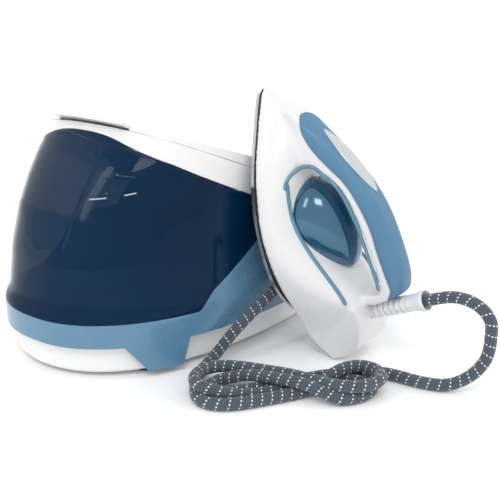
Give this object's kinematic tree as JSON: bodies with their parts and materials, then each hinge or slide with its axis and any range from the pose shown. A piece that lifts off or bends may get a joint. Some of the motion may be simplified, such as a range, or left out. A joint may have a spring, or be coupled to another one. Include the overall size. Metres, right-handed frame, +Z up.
{
  "type": "steam generator iron",
  "caption": "Steam generator iron: base station with removable water tank and iron rest, joined by a braided steam hose to a hand iron that stands on its heel beside it.",
  "frame": {"origin": "on the floor, under the middle of station and iron together, without the steam hose", "axes": "+X from the tank end to the control end, +Z up, +Y from the iron towards the station's far flank"},
  "size_m": [0.4372, 0.5062, 0.2674],
  "materials": {
    "shell_blue": "gloss moulded, light blue",
    "white_plastic": "gloss moulded, white",
    "tank_blue": "clear polycarbonate tinted dark blue, polished",
    "handle_blue": "satin moulded, mid blue",
    "dome_blue": "polished, translucent slate blue",
    "trim_blue": "gloss, pale blue",
    "button_grey": "satin, light grey",
    "button_white": "gloss, white",
    "lens": "clear, pale green",
    "panel_dark": "gloss, dark blue",
    "black_plastic": "fine grain, heat resistant",
    "sole_metal": "polished sole",
    "cast_aluminium": "as cast",
    "boiler_steel": "brushed",
    "element_steel": "heat tinted",
    "screw_steel": "zinc plated",
    "brass_parts": "machined",
    "rubber_parts": "matt",
    "silicone_mat": "matt silicone with fine ribs",
    "silicone_tube": "translucent silicone",
    "board_green": "glass fibre board with solder mask",
    "hose_fabric": "braided sleeve, slate with white flecks",
    "relief_grey": "ribbed, matt"
  },
  "bodies": {
    "station": {"bottom_pan": "white_plastic", "rubber_feet": "rubber_parts", "pan_screws": "screw_steel", "base_shell": "shell_blue", "tank_seat": "white_plastic", "deck_frame": "white_plastic", "iron_platform": "white_plastic", "rest_mat": "silicone_mat", "lid_pin": "screw_steel", "water_coupler": "black_plastic", "water_pump": "black_plastic", "suction_tube": "silicone_tube", "feed_tube": "silicone_tube", "boiler": "boiler_steel", "boiler_heater": "element_steel", "steam_valve": "brass_parts", "steam_tube": "silicone_tube", "control_board": "board_green", "tact_switches": "black_plastic", "control_panel": "panel_dark", "indicator_lenses": "lens", "hose_outlet": "relief_grey", "mains_cord_gland": "rubber_parts", "hose_rise": "hose_fabric", "hose_hank": "hose_fabric", "hose_run": "hose_fabric"},
    "tank": {"tank_shell": "tank_blue", "tank_cap": "tank_blue", "tank_valve": "black_plastic", "valve_spring": "screw_steel"},
    "poppet": {"valve_poppet": "rubber_parts"},
    "lid": {"filler_lid": "white_plastic"},
    "power_key": {"power_button": "button_white"},
    "steam_key": {"steam_button": "button_white"},
    "eco_key": {"eco_button": "button_white"},
    "iron": {"soleplate": "sole_metal", "heater_block": "cast_aluminium", "heater_element": "element_steel", "thermostat": "brass_parts", "heat_shield": "black_plastic", "iron_skirt": "white_plastic", "body_dome": "dome_blue", "accent_trim_upper": "trim_blue", "accent_trim_lower": "trim_blue", "handle_core": "white_plastic", "handle_cover": "handle_blue", "heel_cover": "white_plastic", "hose_relief": "relief_grey", "trigger_pin": "screw_steel", "micro_switches": "black_plastic", "iron_screws": "screw_steel", "hose_loop": "hose_fabric"},
    "thumb_key": {"thumb_button": "button_grey"},
    "trigger": {"steam_trigger": "handle_blue"}
  },
  "joints": [
    {"name": "tank_slide", "type": "slide", "parent": "station", "child": "tank", "axis": [-1, 0, 0], "range_m": [0, 0.24]},
    {"name": "valve_travel", "type": "slide", "parent": "tank", "child": "poppet", "axis": [-1, 0, 0], "range_m": [0, 0.002], "stiffness_N_per_m": 250, "springref_m": -0.002},
    {"name": "lid_hinge", "type": "hinge", "parent": "station", "child": "lid", "pos_m": [-0.0746, 0.0744, 0.2153], "axis": [0, 1, 0], "range_deg": [0, 75]},
    {"name": "power_press", "type": "slide", "parent": "station", "child": "power_key", "axis": [-1, 0, 0], "range_m": [0, 0.0015], "stiffness_N_per_m": 400, "springref_m": -0.002},
    {"name": "steam_press", "type": "slide", "parent": "station", "child": "steam_key", "axis": [-1, 0, 0], "range_m": [0, 0.0015], "stiffness_N_per_m": 400, "springref_m": -0.002},
    {"name": "eco_press", "type": "slide", "parent": "station", "child": "eco_key", "axis": [-1, 0, 0], "range_m": [0, 0.0015], "stiffness_N_per_m": 400, "springref_m": -0.002},
    {"name": "iron_lift", "type": "slide", "parent": "station", "child": "iron", "axis": [0, 0, 1], "range_m": [0, 0.08]},
    {"name": "thumb_press", "type": "slide", "parent": "iron", "child": "thumb_key", "axis": [0.0149, 0.6769, -0.736], "range_m": [0, 0.0025], "stiffness_N_per_m": 400, "springref_m": -0.002},
    {"name": "trigger_squeeze", "type": "hinge", "parent": "iron", "child": "trigger", "pos_m": [0.01207, -0.16786, 0.14608], "axis": [0.9964, 0.0517, 0.0677], "range_deg": [0, 8], "stiffness_Nm_per_rad": 0.3, "springref_deg": -5.73}
  ]
}
